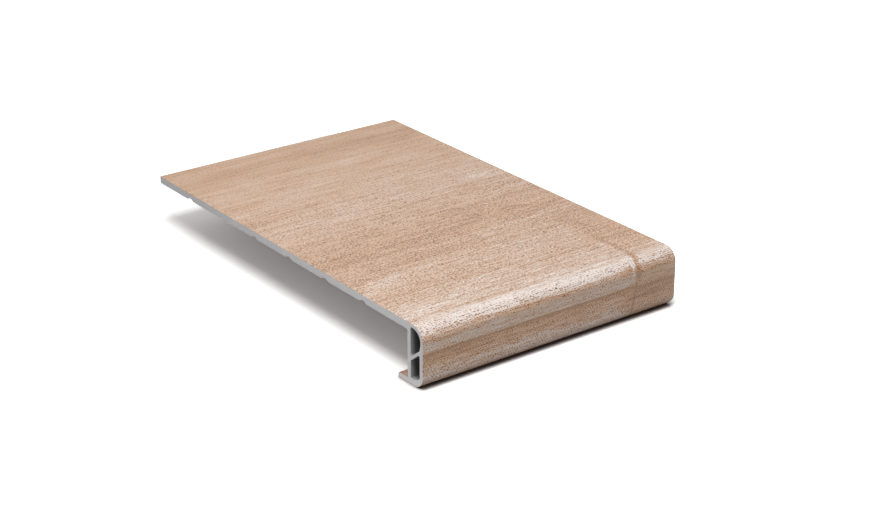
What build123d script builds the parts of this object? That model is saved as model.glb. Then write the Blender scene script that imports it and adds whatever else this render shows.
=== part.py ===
from build123d import *
from math import cos, radians, tan
import os

# A stair tread that is laid over an old step: one extruded grey profile, a flat sheet with a
# hollow nose along its front edge and a lip behind the nose's foot, wrapped on its outer faces
# in a printed wood film. Its section is the same along its whole length.
# Millimetres. X runs along the nose, -Y is the front of the nose and +Z is up.
# The origin is on the floor, below the middle of the tread.

# Overall sizes
width = 200.0             # length of the piece, along the nose
depth = 312.0             # from the front of the nose to the rear edge of the sheet
nose_height = 40.0        # from the foot of the nose to the walking surface
nose_depth = 15.3         # from the front of the nose to the back of its rear wall
sheet = 5.0               # thickness of the flat sheet
film_thickness = 0.3      # printed wood film, counted in every size above

# Outer rounds
nose_radius = 9.0         # where the walking surface turns down into the front
heel_radius = 9.0         # where the front turns under
root_radius = 1.2         # between the sheet's underside and the nose's rear wall

# Lip behind the foot of the nose
lip_reach = 9.6           # from the rear wall to the lip's tip
lip_thickness = 3.4
lip_tip_radius = 1.2      # the tip's upper and lower corners
lip_root_radius = 0.8     # between the lip's top and the rear wall, where the film ends

# Walls of the nose
front_wall = 3.2
rear_wall = 3.1
bottom_wall = 4.0
crown_wall = 2.4          # over the highest point of the upper chamber
bulge_wall = 2.3          # at the front, where the upper chamber bulges into the wall

# Slanted web between the two chambers
web_thickness = 1.8
web_angle = 39.0          # it rises towards the front, in degrees
web_drop = 19.7           # from the walking surface to its middle, halfway between the walls

# Upper chamber
crown_land = 1.7          # level part of its roof, in front of the rear wall
bulge_drop = 9.5          # from the walking surface to its foremost point
bulge_return = 1.2        # its front comes back by this much on its way down to the web

# Lower chamber
floor_rise = 3.8          # its floor curves up to the front wall by this much

# Rounds in the chambers' corners
acute_radius = 1.0        # in the sharp corners at the two ends of the web
crown_radius = 1.2        # between the crown and the rear wall
corner_radius = 0.5       # in the others

# Bedding grooves across the sheet's underside, for the adhesive
groove_mouth = 7.6
groove_root = 2.6
groove_depth = 1.3
groove_radius = 0.6       # in the corners at its root
first_groove = 61.4       # from the front of the nose
groove_pitch = 41.8
last_land = 20.0          # least flat land behind the last groove

underside = nose_height - sheet
rear_wall_face = nose_depth - rear_wall
web_middle = (front_wall + rear_wall_face) / 2
web_half_rise = web_thickness / 2 / cos(radians(web_angle))
groove_count = 1 + int((depth - last_land - first_groove) // groove_pitch)

# The section is drawn with x from the front of the nose to the rear and y up from the floor.
section_plane = Plane(origin=(0, -depth / 2, 0), x_dir=(0, 1, 0), z_dir=(1, 0, 0))


def web_line(setback):
    # Height of the web's middle line at a distance from the front of the nose.
    return nose_height - web_drop + (web_middle - setback) * tan(radians(web_angle))


def outer_section(skin):
    # The whole section without its hollows. The faces that the film wraps are set in by skin.
    top = nose_height - skin
    lip_top = lip_thickness - skin
    lip_tip = nose_depth + lip_reach - skin
    rounds = [
        ((skin, top), nose_radius - skin),
        ((skin, skin), heel_radius - skin),
        ((lip_tip, skin), lip_tip_radius - skin),
        ((lip_tip, lip_top), lip_tip_radius - skin),
        ((nose_depth, lip_top), lip_root_radius),
        ((nose_depth, underside), root_radius),
    ]
    with BuildSketch() as section:
        with BuildLine():
            Polyline(
                (depth, underside),
                (depth, top),
                (skin, top),
                (skin, skin),
                (lip_tip, skin),
                (lip_tip, lip_top),
                (nose_depth, lip_top),
                (nose_depth, underside),
                close=True,
            )
        make_face()
        for corner, radius in rounds:
            fillet(section.vertices().sort_by_distance(corner)[0], radius)
    return section.sketch


def upper_chamber():
    # A quarter of an ellipse from the crown to the bulge, then an arc back to the web.
    crown_height = nose_height - crown_wall
    crown_setback = rear_wall_face - crown_land
    bulge_height = nose_height - bulge_drop
    bulge_foot = bulge_wall + bulge_return
    web_at_rear = web_line(rear_wall_face) + web_half_rise
    web_at_front = web_line(bulge_foot) + web_half_rise
    with BuildSketch() as chamber:
        with BuildLine():
            Line((rear_wall_face, web_at_rear), (rear_wall_face, crown_height))
            Line((rear_wall_face, crown_height), (crown_setback, crown_height))
            EllipticalCenterArc(
                (crown_setback, bulge_height),
                crown_setback - bulge_wall,
                crown_height - bulge_height,
                start_angle=90,
                arc_size=90,
            )
            TangentArc((bulge_wall, bulge_height), (bulge_foot, web_at_front), tangent=(0, -1))
            Line((bulge_foot, web_at_front), (rear_wall_face, web_at_rear))
        make_face()
        fillet(chamber.vertices().sort_by_distance((rear_wall_face, web_at_rear))[0], acute_radius)
        fillet(chamber.vertices().sort_by_distance((rear_wall_face, crown_height))[0], crown_radius)
        fillet(chamber.vertices().sort_by_distance((bulge_foot, web_at_front))[0], corner_radius)
    return chamber.sketch


def lower_chamber():
    # Its floor is a quarter of a flat ellipse, from the rear wall to the front wall.
    web_at_front = web_line(front_wall) - web_half_rise
    web_at_rear = web_line(rear_wall_face) - web_half_rise
    with BuildSketch() as chamber:
        with BuildLine():
            EllipticalCenterArc(
                (rear_wall_face, bottom_wall + floor_rise),
                rear_wall_face - front_wall,
                floor_rise,
                start_angle=180,
                arc_size=90,
            )
            Line((rear_wall_face, bottom_wall), (rear_wall_face, web_at_rear))
            Line((rear_wall_face, web_at_rear), (front_wall, web_at_front))
            Line((front_wall, web_at_front), (front_wall, bottom_wall + floor_rise))
        make_face()
        fillet(chamber.vertices().sort_by_distance((front_wall, web_at_front))[0], acute_radius)
        fillet(chamber.vertices().group_by(Axis.X)[-1], corner_radius)
    return chamber.sketch


def bedding_groove():
    # Its mouth is centred on the origin and it is cut upwards.
    with BuildSketch() as groove:
        with BuildLine():
            Polyline(
                (-groove_mouth / 2, 0),
                (groove_mouth / 2, 0),
                (groove_root / 2, groove_depth),
                (-groove_root / 2, groove_depth),
                close=True,
            )
        make_face()
        fillet(groove.vertices().group_by(Axis.Y)[-1], groove_radius)
    return groove.sketch


os.makedirs("parts", exist_ok=True)

# The extruded profile, from end to end
with BuildPart() as profile:
    with BuildSketch(section_plane):
        add(outer_section(film_thickness))
        add(upper_chamber(), mode=Mode.SUBTRACT)
        add(lower_chamber(), mode=Mode.SUBTRACT)
        with Locations(*[(first_groove + n * groove_pitch, underside) for n in range(groove_count)]):
            add(bedding_groove(), mode=Mode.SUBTRACT)
    extrude(amount=width / 2, both=True)
profile.part.label = "extruded_profile"
export_step(profile.part, "parts/extruded_profile.step")

# The printed film. It runs from the rear edge over the walking surface, round the nose, under
# its foot and round the lip, and ends at the lip's root round. The cut ends stay bare.
with BuildPart() as film:
    with BuildSketch(section_plane):
        add(outer_section(0))
        add(outer_section(film_thickness), mode=Mode.SUBTRACT)
        with Locations((nose_depth, lip_thickness)):
            Rectangle(
                lip_root_radius,
                2 * lip_root_radius,
                align=(Align.MIN, Align.CENTER),
                mode=Mode.SUBTRACT,
            )
    extrude(amount=width / 2, both=True)
film.part.label = "decor_film"
export_step(film.part, "parts/decor_film.step")

for piece in (profile, film):
    print(piece.part.label, "volume", round(piece.part.volume / 1000, 2), "cm3")
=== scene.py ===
import bpy
import bmesh
from math import radians
from mathutils import Matrix, Vector


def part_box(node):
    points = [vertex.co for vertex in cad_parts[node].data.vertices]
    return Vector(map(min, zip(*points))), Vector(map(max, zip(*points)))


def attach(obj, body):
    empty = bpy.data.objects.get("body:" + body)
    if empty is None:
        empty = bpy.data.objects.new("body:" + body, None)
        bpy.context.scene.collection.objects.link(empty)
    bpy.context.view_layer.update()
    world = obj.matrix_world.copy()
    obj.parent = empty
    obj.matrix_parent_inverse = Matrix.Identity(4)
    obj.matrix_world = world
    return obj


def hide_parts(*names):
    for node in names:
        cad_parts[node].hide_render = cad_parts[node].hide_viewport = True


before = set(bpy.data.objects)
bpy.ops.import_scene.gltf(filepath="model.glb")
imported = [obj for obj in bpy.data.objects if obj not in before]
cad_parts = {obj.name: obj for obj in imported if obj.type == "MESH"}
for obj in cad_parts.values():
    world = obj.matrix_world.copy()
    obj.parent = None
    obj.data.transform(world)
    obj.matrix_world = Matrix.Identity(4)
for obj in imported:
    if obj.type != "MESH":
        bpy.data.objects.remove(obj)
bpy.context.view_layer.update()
print("frame loaded:", ", ".join(sorted(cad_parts)))

smoothAngle = 30.0            # degrees: a sharper edge stays sharp in the shading
plasticIor = 1.5
millimetres = 1000            # in a metre
black = (0, 0, 0, 1)
white = (1, 1, 1, 1)


class Wire:
    # one node socket; sums written with it become Math nodes
    def __init__(self, nodes, socket):
        self.nodes = nodes
        self.socket = socket

    def maths(self, operation, first, second):
        return self.nodes.add("ShaderNodeMath", dict(operation=operation), {0: first, 1: second})

    def __add__(self, other):
        return self.maths("ADD", self, other)

    def __radd__(self, other):
        return self.maths("ADD", other, self)

    def __sub__(self, other):
        return self.maths("SUBTRACT", self, other)

    def __rsub__(self, other):
        return self.maths("SUBTRACT", other, self)

    def __mul__(self, other):
        return self.maths("MULTIPLY", self, other)

    def __rmul__(self, other):
        return self.maths("MULTIPLY", other, self)

    def __truediv__(self, other):
        return self.maths("DIVIDE", self, other)

    def __pow__(self, other):
        return self.maths("POWER", self, other)


class Nodes:
    # the node tree of a material or of the world
    def __init__(self, owner):
        owner.use_nodes = True
        self.tree = owner.node_tree
        self.tree.nodes.clear()

    def add(self, kind, settings=None, inputs=None, output=0):
        # a new node: its settings come first, then the values or links of its sockets
        node = self.tree.nodes.new(kind)
        for key, value in (settings or {}).items():
            if key == "stops":
                self.setStops(node.color_ramp, value)
            else:
                setattr(node, key, value)
        for key, value in (inputs or {}).items():
            if isinstance(value, Wire):
                self.tree.links.new(value.socket, node.inputs[key])
            else:
                node.inputs[key].default_value = value
        return Wire(self, node.outputs[output]) if node.outputs else None

    def also(self, wire, output):
        # another output of the same node
        return Wire(self, wire.socket.node.outputs[output])

    def setStops(self, ramp, stops):
        while len(ramp.elements) < len(stops):
            ramp.elements.new(1)
        for element, (position, colour) in zip(ramp.elements, stops):
            element.position = position
            element.color = (*colour, 1)

    def point(self, x, y, z=0.0):
        return self.add("ShaderNodeCombineXYZ", None, {0: x, 1: y, 2: z})

    def parts(self, place):
        # the three coordinates of a place
        x = self.add("ShaderNodeSeparateXYZ", None, {0: place})
        return x, self.also(x, "Y"), self.also(x, "Z")

    def noise(self, place, detail=2.0, roughness=0.5, scale=1.0):
        settings = dict(noise_dimensions="3D")
        inputs = {"Vector": place, "Scale": scale, "Detail": detail, "Roughness": roughness}
        return self.add("ShaderNodeTexNoise", settings, inputs)

    def stretch(self, place, scale):
        # fine noise, drawn out along the axes with a small scale
        fine = self.add("ShaderNodeMapping", None, {"Vector": place, "Scale": scale})
        return self.noise(fine, 2.0, 0.6)

    def step(self, value, low, high, before=0.0, after=1.0):
        # one value below low, another above high and smooth between them
        settings = dict(interpolation_type="SMOOTHSTEP")
        inputs = {0: value, 1: low, 2: high, 3: before, 4: after}
        return self.add("ShaderNodeMapRange", settings, inputs)

    def hill(self, value, centre, width):
        # 1 at the centre, falling smoothly to 0 at width on both sides
        return 1 - self.step(self.size(value - centre), 0.0, width)

    def between(self, value, fadeIn, fadeOut):
        # 1 from the end of one fade to the start of the other
        return self.step(value, *fadeIn) * (1 - self.step(value, *fadeOut))

    def size(self, value):
        return self.add("ShaderNodeMath", dict(operation="ABSOLUTE"), {0: value})

    def limit(self, value):
        # nothing below 0
        return self.add("ShaderNodeMath", dict(operation="MAXIMUM"), {0: value, 1: 0.0})

    def vector(self, operation, inputs, output="Vector"):
        return self.add("ShaderNodeVectorMath", dict(operation=operation), inputs, output)

    def mark(self, here, centre, size, amount):
        # an oval patch: amount in its middle, 0 at its edge
        away = self.vector("SUBTRACT", {0: here, 1: (*centre, 0)})
        away = self.vector("DIVIDE", {0: away, 1: (*size, 1)})
        return self.step(self.vector("LENGTH", {0: away}, "Value"), 0.0, 1.0, amount, 0.0)

    def tint(self, factor, first, second, blend="MIX"):
        # sockets 6 and 7 of a Mix node and its output 2 are the ones for colours
        settings = dict(data_type="RGBA", blend_type=blend)
        return self.add("ShaderNodeMix", settings, {0: factor, 6: first, 7: second}, 2)


def newPiece(name, shape, material):
    mesh = bpy.data.meshes.new(name)
    shape.to_mesh(mesh)
    shape.free()
    mesh.shade_smooth()
    mesh.set_sharp_from_angle(angle=radians(smoothAngle))
    mesh.materials.append(material)
    piece = bpy.data.objects.new(name, mesh)
    bpy.context.scene.collection.objects.link(piece)
    return piece


# Printed wood film. Places in the print are in millimetres: x from the middle of the tread along
# the nose, s along the film from the rear edge, over the nose (303 to 317) and down the front.
# Two numbers in brackets are where an effect starts to show and where it shows in full.
wood = dict(
    shades=[
        (0.0, (0.34, 0.17, 0.082)),
        (0.25, (0.475, 0.247, 0.118)),
        (0.5, (0.585, 0.344, 0.195)),
        (0.75, (0.68, 0.488, 0.365)),
        # the palest shade, near white, serves mostly the painted highlight on the nose's crown
        (1.0, (0.91, 0.825, 0.775)),
    ],
    # tone of the print across the grain, at s, with a painted highlight on the nose's crown from
    # about 299 to 313
    bandsAndHighlight=[
        (0, 0.52), (14, 0.52), (22, 0.43), (34, 0.48), (48, 0.61), (90, 0.61), (135, 0.66),
        (170, 0.53), (190, 0.4), (209, 0.37), (215, 0.58), (226, 0.49), (240, 0.68), (265, 0.65),
        (285, 0.76), (299, 0.83), (303, 0.89), (306, 1.07), (310, 1.14), (311.3, 1.02), (313, 0.8),
        (315.8, 0.56), (318, 0.67), (324.2, 0.7), (325.0, 0.2), (327, 0.38), (333, 0.54),
        (338, 0.73), (350, 0.64), (380, 0.5),
    ],
    bandSpan=400.0,                       # the ramp of the bands ends here
    # streaks and flecks: x, s, half length, half width, darker or paler by
    marks=[
        (40, 24, 110, 9, -0.12), (-55, 29.5, 55, 1.5, -0.2), (-72, 47, 45, 1.4, -0.16),
        (35, 92, 45, 1.8, -0.14), (-75, 110, 38, 1.5, -0.16), (-82, 128, 20, 3.5, -0.14),
        (-15, 150, 40, 1.4, -0.16), (35, 158, 30, 1.6, -0.2), (-10, 192, 75, 1.6, -0.16),
        (60, 195, 22, 2.2, -0.34), (-20, 199, 110, 1.9, -0.36), (55, 206.5, 75, 1.7, -0.26),
        (-45, 208.5, 65, 1.7, -0.3), (55, 214.5, 70, 2.8, 0.3), (-25, 226, 65, 6.0, -0.26),
        (-70, 236, 45, 6.0, 0.05), (-72, 255, 40, 1.6, -0.3), (-40, 265, 80, 1.6, -0.28),
        (82, 140, 26, 34, 0.14), (-75, 290, 60, 9, 0.08), (84, 60, 26, 34, -0.1),
        (-30, 242, 28, 1.3, -0.3), (-62, 251, 9, 1.3, -0.3), (-66, 226.5, 30, 1.2, -0.26),
        (40, 274, 80, 1.5, -0.22), (10, 286.5, 120, 1.8, -0.36), (88, 272, 20, 1.4, -0.26),
        (88, 283, 20, 1.6, -0.3), (86, 290, 20, 1.4, -0.28), (88, 297, 20, 1.5, -0.3),
        (70, 218, 44, 1.4, -0.26), (80, 229, 36, 1.3, -0.26), (78, 236, 40, 1.5, -0.28),
        (84, 244, 30, 1.3, -0.26), (76, 251, 44, 1.4, -0.3), (86, 258, 26, 1.3, -0.26),
        (80, 265, 38, 1.4, -0.28), (20, 233, 40, 1.2, -0.2), (-10, 257, 50, 1.2, -0.2),
        (-60, 275, 60, 1.3, -0.24), (30, 296, 70, 1.4, -0.22), (-50, 218, 60, 1.4, -0.22),
        (50.5, 178.5, 2.6, 2.0, 0.55), (68, 179, 3.4, 3.2, 0.26), (74, 131, 4.5, 1.7, 0.2),
        (41, 187, 10, 1.5, 0.24), (59, 227, 2.6, 5.0, 0.24), (63, 243, 2.4, 5.0, 0.18),
        (61, 254, 2.2, 3.5, 0.16), (76, 240, 11, 24, -0.2), (66.3, 277, 2.6, 10, 0.16),
        (62.5, 312.5, 3.4, 3.6, -0.42), (69.5, 318.5, 2.6, 4.0, -0.34), (22, 319, 4.5, 4.2, -0.2),
        (21, 334, 8, 7, -0.16), (59, 337, 8, 8, -0.14), (-60, 336, 50, 0.9, -0.16),
        (0, 325.2, 400, 1.1, -0.4), (-58, 330.5, 30, 1.0, -0.3), (-10, 332, 30, 1.2, -0.24),
        (-75, 328, 20, 1.2, -0.2), (15, 328.5, 34, 0.9, -0.2),
    ],
    # noise in the print: length and width of its patches, seed, detail, roughness, amount
    noises=dict(
        drift=(150, 70, 3.1, 1.0, 0.5, 5.0),      # the grain lines lean
        wobble=(26, 12, 8.7, 1.0, 0.5, 1.0),      # and waver
        ragged=(5, 2.5, 6.3, 2.0, 0.5, 3.0),      # the edges of the marks
        sway=(16, 1, 4.4, 2.0, 0.5, 3.0),         # the crease
        cloud=(42, 24, 2.0, 2.0, 0.5, 0.45),
        broad=(120, 8, 1.0, 2.0, 0.5, 1.0),
        streak=(60, 2.2, 5.0, 3.0, 0.65, 1.0),
        fibre=(13, 1.1, 9.0, 2.0, 0.6, 1.0),
        fleck=(1.3, 0.8, 12.0, 1.0, 0.5, 1.0),
    ),
    # the grain bends round a curl on the walking surface
    curl=dict(x=58.0, s=174.0, halfLength=34.0, halfWidth=24.0, bend=11.0),
    # a crease across the grain, and the darker print to its right
    crease=dict(
        x=71.6,                                   # on the walking surface
        bends=[(294.0, 314.0, 4.0), (314.0, 346.0, 4.0)],     # to the left over the nose, by
        right=(-9.0, 7.0),
        rightFrom=(205.0, 240.0),
        rightGap=(303.0, 24.0),                   # fainter round this s, over this half width, where the painted highlight on the crown shows
        rightDark=0.22,
        # lines along it: how far to its right, half width, fades in and out along s, amount
        lines=[
            (0.4, 3.6, (250.0, 274.0), (316.0, 322.0), -0.6),
            (-2.8, 2.4, (298.0, 306.0), (316.0, 320.0), 0.35),
            (0.0, 1.3, (318.0, 326.0), (390.0, 400.0), -0.8),
        ],
    ),
    front=(306.0, 317.0),                         # where the print of the front takes over
    lowerX=(65.0, 73.0),                          # to the right of this the front's bands lie
    lowerS=(312.0, 322.0),                        # a little lower, from here on
    lowerBy=1.6,
    smoothIn=(314.5, 317.5),                      # a smooth stripe down the front starts here
    smoothOut=(323.8, 325.2),                     # and ends here
    crispIn=(20.0, 215.0),                        # the detail is crisper towards the nose
    rearDetail=0.42,                              # share of it that is left at the rear edge
    crown=(304.0, 7.0),                           # middle and half width of the painted highlight on the nose's crown
    dusk=(199.0, 16.0),                           # and of the dark stripe across the top
    streaks=1.2,
    duskStreaks=1.2,                              # more streaks in the dark stripe
    fibres=1.5,
    paleHeld=0.45,                                # holds back the palest streaks by this share
    warm=(1.05, 1.0, 0.92, 1),                    # tint of that stripe and right of the crease
    warmOut=(298.0, 312.0),
    warmRight=0.8,
    cool=(0.87, 1.0, 1.17, 1),                    # tint of the front
    coolIn=(313.0, 318.0),
    coolFront=0.52,
    coolSmooth=0.48,                              # more of it in the smooth stripe
    coolFootIn=(333.0, 338.0),
    coolFoot=0.25,                                # and towards the foot
    pore=(0.235, 0.095, 0.035),
    rim=(0.82, 0.69, 0.59),
    # pores: pitch along and across the grain, how irregular, least and added half size, soft edge
    finePores=dict(length=1.9, width=1.3, irregular=0.5, least=0.2, added=0.17, edge=(0.5, 1.4)),
    boldPores=dict(length=4.0, width=2.1, irregular=1.0, least=0.11, added=0.09, edge=(0.6, 1.2)),
    nosePores=dict(length=2.3, width=0.95, irregular=0.6, least=0.2, added=0.14, edge=(0.4, 1.3)),
    nosePoresIn=(294.0, 308.0),
    poreWander=(9, 4),                            # length and width of the patches they drift in
    poreSlant=2.8,                                # rows until the pores are in line again
    rimRing=(1.9, 0.9),                           # middle and half width, in half sizes of a pore
    roughness=0.38,
    poreRoughness=0.25,
    fibreRoughness=0.12,
    poreDepth=0.00004,
    fibreDepth=0.00002,
)


def printNoise(nodes, x, across, name):
    # one noise layer of the print, about 0
    length, width, seed, detail, roughness, amount = wood["noises"][name]
    place = nodes.point(x / length, across / width, seed)
    return (nodes.noise(place, detail, roughness) - 0.5) * amount


def porePattern(nodes, x, grain, pores, smaller):
    # 1 inside a pore, a number of its own, and the distance from its middle in its half sizes
    length = pores["length"]
    width = pores["width"]
    patchX, patchS = wood["poreWander"]
    shift = nodes.noise(nodes.point(x / patchX, grain / patchS, length), 1.0) - 0.5
    along = x / length - grain / (width * wood["poreSlant"]) + shift
    cells = nodes.point(along, grain / width + shift * 0.6, length)
    settings = dict(voronoi_dimensions="2D", feature="F1")
    inputs = {"Vector": cells, "Scale": 1.0, "Randomness": pores["irregular"]}
    distance = nodes.add("ShaderNodeTexVoronoi", settings, inputs)
    luck = nodes.add("ShaderNodeSeparateColor", None, {0: nodes.also(distance, "Color")})
    reach = distance / ((pores["least"] + luck * pores["added"]) * smaller)
    inside = 1 - nodes.step(reach, *pores["edge"])
    return inside, nodes.also(luck, "Green"), reach


def addCrease(nodes, x, s, tone):
    # pale on its left, dark on its right, a thin line down the front
    crease = wood["crease"]
    line = x - crease["x"]
    for low, high, left in crease["bends"]:
        line = line + nodes.step(s, low, high) * left
    line = line - printNoise(nodes, s, 0.0, "sway")
    right = nodes.step(line, *crease["right"]) * nodes.step(s, *crease["rightFrom"])
    right = right * (1 - nodes.hill(s, *crease["rightGap"]) * 0.9)
    tone = tone - right * crease["rightDark"]
    for away, width, fadeIn, fadeOut, amount in crease["lines"]:
        tone = tone + nodes.hill(line, away, width) * nodes.between(s, fadeIn, fadeOut) * amount
    return tone, right


def makeWood():
    material = bpy.data.materials.new("printed_wood_film")
    nodes = Nodes(material)
    uv = nodes.parts(nodes.add("ShaderNodeUVMap", dict(uv_map="film")))
    x = uv[0] * millimetres
    s = uv[1] * millimetres

    # the grain lines wander a little, less so down the front, and bend round the curl
    front = nodes.step(s, *wood["front"])
    drift = printNoise(nodes, x, s, "drift")
    wobble = printNoise(nodes, x, s, "wobble") * (2.2 - front * 1.8)
    curl = wood["curl"]
    curlX = (x - curl["x"]) / curl["halfLength"]
    curlS = (s - curl["s"]) / curl["halfWidth"]
    inCurl = 1 - nodes.step(curlX * curlX + curlS * curlS, 0.0, 1.0)
    straight = s + wobble
    bent = straight + inCurl * curlS * curl["bend"]
    grain = bent + drift
    straightGrain = straight + drift

    # the bands and marks across the grain, with the painted highlight on the nose's crown, and the
    # crease
    lower = nodes.step(x, *wood["lowerX"]) * nodes.step(s, *wood["lowerS"]) * wood["lowerBy"]
    stops = [(place / wood["bandSpan"], (tone, tone, tone)) for place, tone in wood["bandsAndHighlight"]]
    across = (s + wobble * 0.5 - lower) / wood["bandSpan"]
    bandsAndHighlight = nodes.add("ShaderNodeValToRGB", dict(stops=stops), {0: across})
    tone = nodes.add("ShaderNodeSeparateColor", None, {0: bandsAndHighlight})
    ragged = printNoise(nodes, x, s, "ragged")
    here = nodes.point(x + ragged, bent + ragged * (0.2 - front * 0.15) - lower)
    for markX, markS, length, width, amount in wood["marks"]:
        tone = tone + nodes.mark(here, (markX, markS), (length, width), amount)
    tone, right = addCrease(nodes, x, s, tone)

    # the detail grows crisper towards the nose, and is fainter under the painted highlight on its
    # crown and in the smooth stripe
    smooth = nodes.between(s, wood["smoothIn"], wood["smoothOut"])
    crisp = wood["rearDetail"] + nodes.step(s, *wood["crispIn"]) * (1 - wood["rearDetail"])
    crisp = crisp * (1 - smooth * 0.35 - nodes.hill(s, *wood["crown"]) * 0.35)
    dusk = nodes.hill(s, *wood["dusk"])
    cloud = printNoise(nodes, x, s, "cloud")
    broad = printNoise(nodes, x, grain, "broad")
    streak = printNoise(nodes, x, grain, "streak")
    fibre = printNoise(nodes, x, grain, "fibre")
    varied = cloud + broad * (0.3 + crisp * 0.35 - front * 0.3)
    streaked = crisp * (wood["streaks"] + dusk * wood["duskStreaks"])
    varied = varied + streak * (0.3 + streaked) * (1 - front * 0.4)
    varied = varied + fibre * crisp * wood["fibres"]
    tone = tone + varied - nodes.limit(varied) * wood["paleHeld"]

    # the dark stripe and the print right of the crease are warmer, the front is cooler
    colour = nodes.add("ShaderNodeValToRGB", dict(stops=wood["shades"]), {0: tone})
    warming = dusk + right * (1 - nodes.step(s, *wood["warmOut"])) * wood["warmRight"]
    colour = nodes.tint(warming, colour, nodes.tint(1.0, colour, wood["warm"], "MULTIPLY"))
    cooling = nodes.step(s, *wood["coolIn"]) * wood["coolFront"] + smooth * wood["coolSmooth"]
    cooling = cooling + nodes.step(s, *wood["coolFootIn"]) * wood["coolFoot"]
    colour = nodes.tint(cooling, colour, nodes.tint(1.0, colour, wood["cool"], "MULTIPLY"))

    # pores: short dark dashes in rows along the grain, fine ones in paler rims and a few bold ones
    rows = nodes.limit(1 - streak * 3.0 - fibre * 1.5) * (0.9 + front * 0.6)
    smaller = 1 - front * 0.2
    inside, deep, reach = porePattern(nodes, x, straightGrain, wood["finePores"], smaller)
    fine = inside * (0.35 + deep * 0.65) * crisp * rows
    rims = nodes.hill(reach, *wood["rimRing"]) * (0.25 + deep * 0.4) * crisp * (1 - front * 0.6)
    inside, deep = porePattern(nodes, x, straightGrain, wood["boldPores"], smaller)[:2]
    bold = inside * nodes.step(deep, 0.3, 0.9) * crisp * (rows + 0.4)
    inside, deep = porePattern(nodes, x, straightGrain, wood["nosePores"], 1)[:2]
    more = inside * (0.1 + deep * 0.35) * nodes.step(s, *wood["nosePoresIn"]) * rows
    pores = fine + bold + more * (1 - smooth * 0.4)
    fleck = printNoise(nodes, x, straightGrain, "fleck") * crisp * (2.0 - front * 1.3)
    colour = nodes.tint(rims + nodes.limit(fleck), colour, (*wood["rim"], 1))
    colour = nodes.tint(pores + nodes.limit(fleck * -1), colour, (*wood["pore"], 1))

    height = (1 - pores) * wood["poreDepth"] + fibre * wood["fibreDepth"]
    normal = nodes.add("ShaderNodeBump", None, {"Height": height, "Distance": 1.0, "Strength": 1.0})
    roughness = wood["roughness"] + pores * wood["poreRoughness"] + fibre * wood["fibreRoughness"]
    shader = nodes.add("ShaderNodeBsdfPrincipled", None, {
        "Base Color": colour, "Roughness": roughness, "IOR": plasticIor, "Normal": normal,
    })
    nodes.add("ShaderNodeOutputMaterial", None, {0: shader})
    return material


# The film's shape, in metres: a strip folded round the profile's section
film = dict(
    thickness=0.0003,
    noseRadius=0.009,
    heelRadius=0.009,
    tipRadius=0.0012,
    lipReach=0.0249,          # from the front of the nose to the lip's tip
    lipEnd=0.0161,            # and to where the film stops on top of the lip
    lipHeight=0.0034,
    arcSteps=24,
    tipSteps=8,
)


def longEdge(shape, y, z):
    # the edge along the tread through (y, z)
    def isOn(vertex):
        return Vector((vertex.co.y - y, vertex.co.z - z)).length < 1e-6

    return [edge for edge in shape.edges if all(isOn(vertex) for vertex in edge.verts)]


def makeFilm(material):
    low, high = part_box("decor_film")
    front = low.y
    tip = front + film["lipReach"]
    corners = [
        (high.y, high.z), (front, high.z), (front, low.z), (tip, low.z),
        (tip, film["lipHeight"]), (front + film["lipEnd"], film["lipHeight"]),
    ]
    shape = bmesh.new()
    chain = [shape.verts.new((low.x, y, z)) for y, z in corners]
    for first, second in zip(chain, chain[1:]):
        shape.edges.new((first, second))
    swept = bmesh.ops.extrude_edge_only(shape, edges=shape.edges[:])["geom"]
    far = [v for v in swept if isinstance(v, bmesh.types.BMVert)]
    bmesh.ops.translate(shape, verts=far, vec=(high.x - low.x, 0, 0))
    bmesh.ops.reverse_faces(shape, faces=shape.faces[:])
    rounds = [
        (corners[1], film["noseRadius"], film["arcSteps"]),
        (corners[2], film["heelRadius"], film["arcSteps"]),
        (corners[3], film["tipRadius"], film["tipSteps"]),
        (corners[4], film["tipRadius"], film["tipSteps"]),
    ]
    for corner, radius, steps in rounds:
        bmesh.ops.bevel(shape, geom=longEdge(shape, *corner), offset=radius, offset_type="OFFSET",
                        segments=steps, profile=0.5, affect="EDGES", material=-1)

    # length along the film from the rear edge, walked vertex by vertex at the left end
    along = shape.verts.layers.float.new("along")
    here = max((v for v in shape.verts if v.co.x < 0), key=lambda v: v.co.y)
    length = 0.0
    done = set()
    while here:
        done.add(here)
        here[along] = length
        others = [edge.other_vert(here) for edge in here.link_edges]
        for other in others:
            if other.co.x > 0:
                other[along] = length
        ahead = [v for v in others if v.co.x < 0 and v not in done]
        if ahead:
            length += (ahead[0].co - here.co).length
        here = ahead[0] if ahead else None

    # the print is laid out in metres, x along the nose and that length across it
    uv = shape.loops.layers.uv.new("film")
    for face in shape.faces:
        for loop in face.loops:
            loop[uv].uv = (loop.vert.co.x, loop.vert[along])
    bmesh.ops.solidify(shape, geom=shape.faces[:], thickness=film["thickness"])
    piece = newPiece("wood_film", shape, material)
    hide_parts("decor_film")
    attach(piece, "root")


# Grey rigid plastic of the extruded profile. A sawn end is paler than the extruded skin. Inside the
# nose's chambers the skin is darkened with painted shade, which starts a few millimetres in from the
# cut. Lengths are in metres.
grey = dict(
    skin=(0.36, 0.36, 0.362),
    # painted shade: the skin's colour deep inside the chambers
    inside=(0.112, 0.11, 0.106),
    cut=(0.465, 0.456, 0.462),
    footLightGain=1.2,            # painted light from the floor: the cut is this much paler at its foot
    footLightHeight=0.016,
    shadeStart=0.0045,             # over this much from the cut the painted shade darkens to its full depth
    shadeWaver=0.001,
    noseDepth=0.0134,         # the chambers lie within this of the profile's front
    noseEdge=0.0004,          # and the painted shade fades out over this much
    cloudScale=90,
    speckScale=1500,
    dieLines=(4.0, 1400.0, 1400.0),       # scale along, across and up
    sawLines=(1.0, 1500.0, 160.0),
    dieDepth=0.00002,
    sawDepth=0.00003,
    speckDepth=0.00001,
    roughness=0.5,
    specular=0.25,
)


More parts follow.
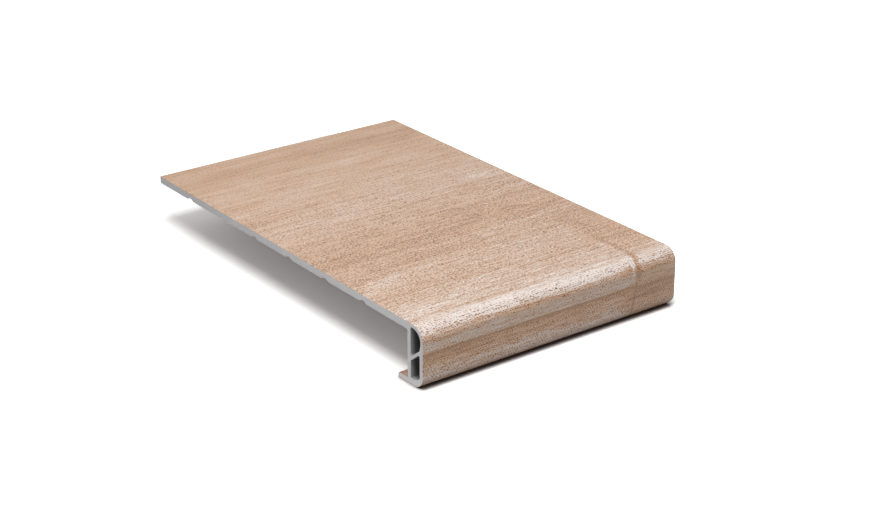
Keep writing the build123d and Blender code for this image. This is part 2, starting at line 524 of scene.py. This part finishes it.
def makeGrey():
    material = bpy.data.materials.new("grey_profile_plastic")
    nodes = Nodes(material)
    place = nodes.add("ShaderNodeTexCoord", None, None, "Object")
    x, y, z = nodes.parts(place)
    facing = nodes.size(nodes.parts(nodes.also(place, "Normal"))[0])
    sawn = nodes.step(facing, 0.6, 0.8)
    low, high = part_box("extruded_profile")
    middle = (low.x + high.x) / 2
    half = (high.x - low.x) / 2
    fromCut = half - nodes.size(x - middle)
    cloud = nodes.noise(place, 3.0, 0.6, grey["cloudScale"])
    speck = nodes.noise(place, 2.0, 0.6, grey["speckScale"])
    # painted shade inside the chambers, fading in from the cut and kept to the nose
    deep = nodes.step(fromCut + (cloud - 0.5) * grey["shadeWaver"], 0.0, grey["shadeStart"])
    noseEnd = grey["noseDepth"] - grey["noseEdge"]
    chamber = 1 - nodes.step(y - low.y, noseEnd, grey["noseDepth"])

    # the die draws fine lines along the skin, the saw leaves fainter ones up the cut
    drawn = nodes.stretch(place, grey["dieLines"])
    saw = nodes.stretch(place, grey["sawLines"])
    shade = 1 + (cloud - 0.5) * 0.12 + (speck - 0.5) * 0.1 + (drawn - 0.5) * (1 - sawn) * 0.3
    # painted light from the floor on the foot of the cut
    footLight = 1 - nodes.step(z, 0.0, grey["footLightHeight"])
    shade = shade * (1 + footLight * sawn * (grey["footLightGain"] - 1))
    base = nodes.tint(deep * chamber, (*grey["skin"], 1), (*grey["inside"], 1))
    base = nodes.tint(sawn, base, (*grey["cut"], 1))
    colour = nodes.tint(1.0, base, nodes.point(shade, shade, shade), "MULTIPLY")
    height = drawn * (1 - sawn) * grey["dieDepth"] + saw * sawn * grey["sawDepth"]
    height = height + speck * grey["speckDepth"]
    bump = nodes.add("ShaderNodeBump", None, {"Height": height, "Distance": 1.0, "Strength": 0.6})
    roughness = grey["roughness"] + (cloud - 0.5) * 0.1
    shader = nodes.add("ShaderNodeBsdfPrincipled", None, {
        "Base Color": colour, "Roughness": roughness, "IOR": plasticIor,
        "Specular IOR Level": grey["specular"], "Normal": bump,
    })
    nodes.add("ShaderNodeOutputMaterial", None, {0: shader})
    return material


makeFilm(makeWood())
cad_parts["extruded_profile"].material_slots[0].material = makeGrey()
print("pieces made")

# Floor, light and camera
studio = dict(
    floorColour=1.4,          # as the camera and the gloss see it
    floorBounce=0.35,         # as the light that it throws back sees it
    nearGlow=(0.07, 0.055, 0.049),        # warms and lifts the shadow
    farGlow=1.0,              # added beyond the object, where the lamps fall off
    farIn=(0.28, 0.55),       # from the middle of the tread
    rightGlow=0.45,           # painted light that fills the tread's shadow to the right of it
    rightIn=(0.098, 0.112),
    contactShade=(0.03, 0.012, 0.008),
    contactReach=0.005,
    contactPower=2,
    contactSamples=8,
    floorSize=4.0,
    floorDrop=0.0001,
    worldStrength=0.42,
)
# name: place, disk size in metres, watts
lamps = dict(
    key_lamp=((-0.395, -0.411, 1.058), 0.48, 8.8),
    side_lamp=((-0.42, -0.14, 0.02), 0.12, 0.36),
)


def seenRay(nodes):
    # 1 for what the camera sees, straight or in a reflection
    camera = nodes.add("ShaderNodeLightPath", None, None, "Is Camera Ray")
    glossy = nodes.also(camera, "Is Glossy Ray")
    through = nodes.also(camera, "Is Transmission Ray")
    return camera + glossy + through


def makeFloor():
    material = bpy.data.materials.new("studio_floor")
    nodes = Nodes(material)
    place = nodes.add("ShaderNodeTexCoord", None, None, "Object")
    far = nodes.step(nodes.vector("LENGTH", {0: place}, "Value"), *studio["farIn"])
    right = nodes.step(nodes.parts(place)[0], *studio["rightIn"])
    lifted = far * studio["farGlow"] + right * studio["rightGlow"]
    lift = nodes.tint(lifted, (*studio["nearGlow"], 1), white)
    settings = dict(samples=studio["contactSamples"])
    inputs = {"Distance": studio["contactReach"]}
    close = nodes.add("ShaderNodeAmbientOcclusion", settings, inputs, "AO") ** studio["contactPower"]
    shown = studio["floorColour"]
    thrown = studio["floorBounce"]
    dark = [shown * part for part in studio["contactShade"]]
    paint = nodes.tint(close, (*dark, 1), (shown, shown, shown, 1))
    matt = nodes.add("ShaderNodeBsdfDiffuse", None, {"Color": paint})
    glow = nodes.add("ShaderNodeEmission", None, {"Color": nodes.tint(close, black, lift)})
    bright = nodes.add("ShaderNodeAddShader", None, {0: matt, 1: glow})
    dim = nodes.add("ShaderNodeBsdfDiffuse", None, {"Color": (thrown, thrown, thrown, 1)})
    both = nodes.add("ShaderNodeMixShader", None, {0: seenRay(nodes), 1: dim, 2: bright})
    nodes.add("ShaderNodeOutputMaterial", None, {0: both})
    shape = bmesh.new()
    bmesh.ops.create_grid(shape, x_segments=1, y_segments=1, size=studio["floorSize"],
                          matrix=Matrix.Translation((0, 0, -studio["floorDrop"])))
    floor = newPiece("studio_floor", shape, material)


def makeWorld():
    world = bpy.data.worlds.new("studio_world")
    bpy.context.scene.world = world
    nodes = Nodes(world)
    level = studio["worldStrength"]
    strength = level + seenRay(nodes) * (1 - level)
    sky = nodes.add("ShaderNodeBackground", None, {"Color": white, "Strength": strength})
    nodes.add("ShaderNodeOutputWorld", None, {0: sky})


def addLamp(name, place, size, power):
    # a disk that faces the middle of the tread
    lamp = bpy.data.lights.new(name, "AREA")
    lamp.shape = "DISK"
    lamp.size = size
    lamp.energy = power
    holder = bpy.data.objects.new(name, lamp)
    holder.location = place
    holder.rotation_euler = (-Vector(place)).to_track_quat("-Z", "Y").to_euler()
    bpy.context.scene.collection.objects.link(holder)


# The camera's place and turn come from the photograph's own edges
view = dict(
    place=(-0.68868, -0.96855, 0.51995),
    azimuth=-36.4232,
    elevation=23.4359,
    roll=-0.1732,
    lens=78.7995,
    sensor=36,
    nearest=0.01,
)


def makeCamera():
    camera = bpy.data.cameras.new("camera")
    camera.lens = view["lens"]
    camera.sensor_width = view["sensor"]
    camera.sensor_fit = "HORIZONTAL"
    camera.clip_start = view["nearest"]
    holder = bpy.data.objects.new("camera", camera)
    turn = Matrix.Rotation(radians(view["azimuth"]), 4, "Z")
    tilt = Matrix.Rotation(radians(90 - view["elevation"]), 4, "X")
    roll = Matrix.Rotation(radians(view["roll"]), 4, "Z")
    holder.matrix_world = Matrix.Translation(view["place"]) @ turn @ tilt @ roll
    bpy.context.scene.collection.objects.link(holder)
    bpy.context.scene.camera = holder


makeFloor()
makeWorld()
for lampName, (place, size, power) in lamps.items():
    addLamp(lampName, place, size, power)
makeCamera()
bpy.context.scene.view_settings.view_transform = "Standard"
print("studio made")
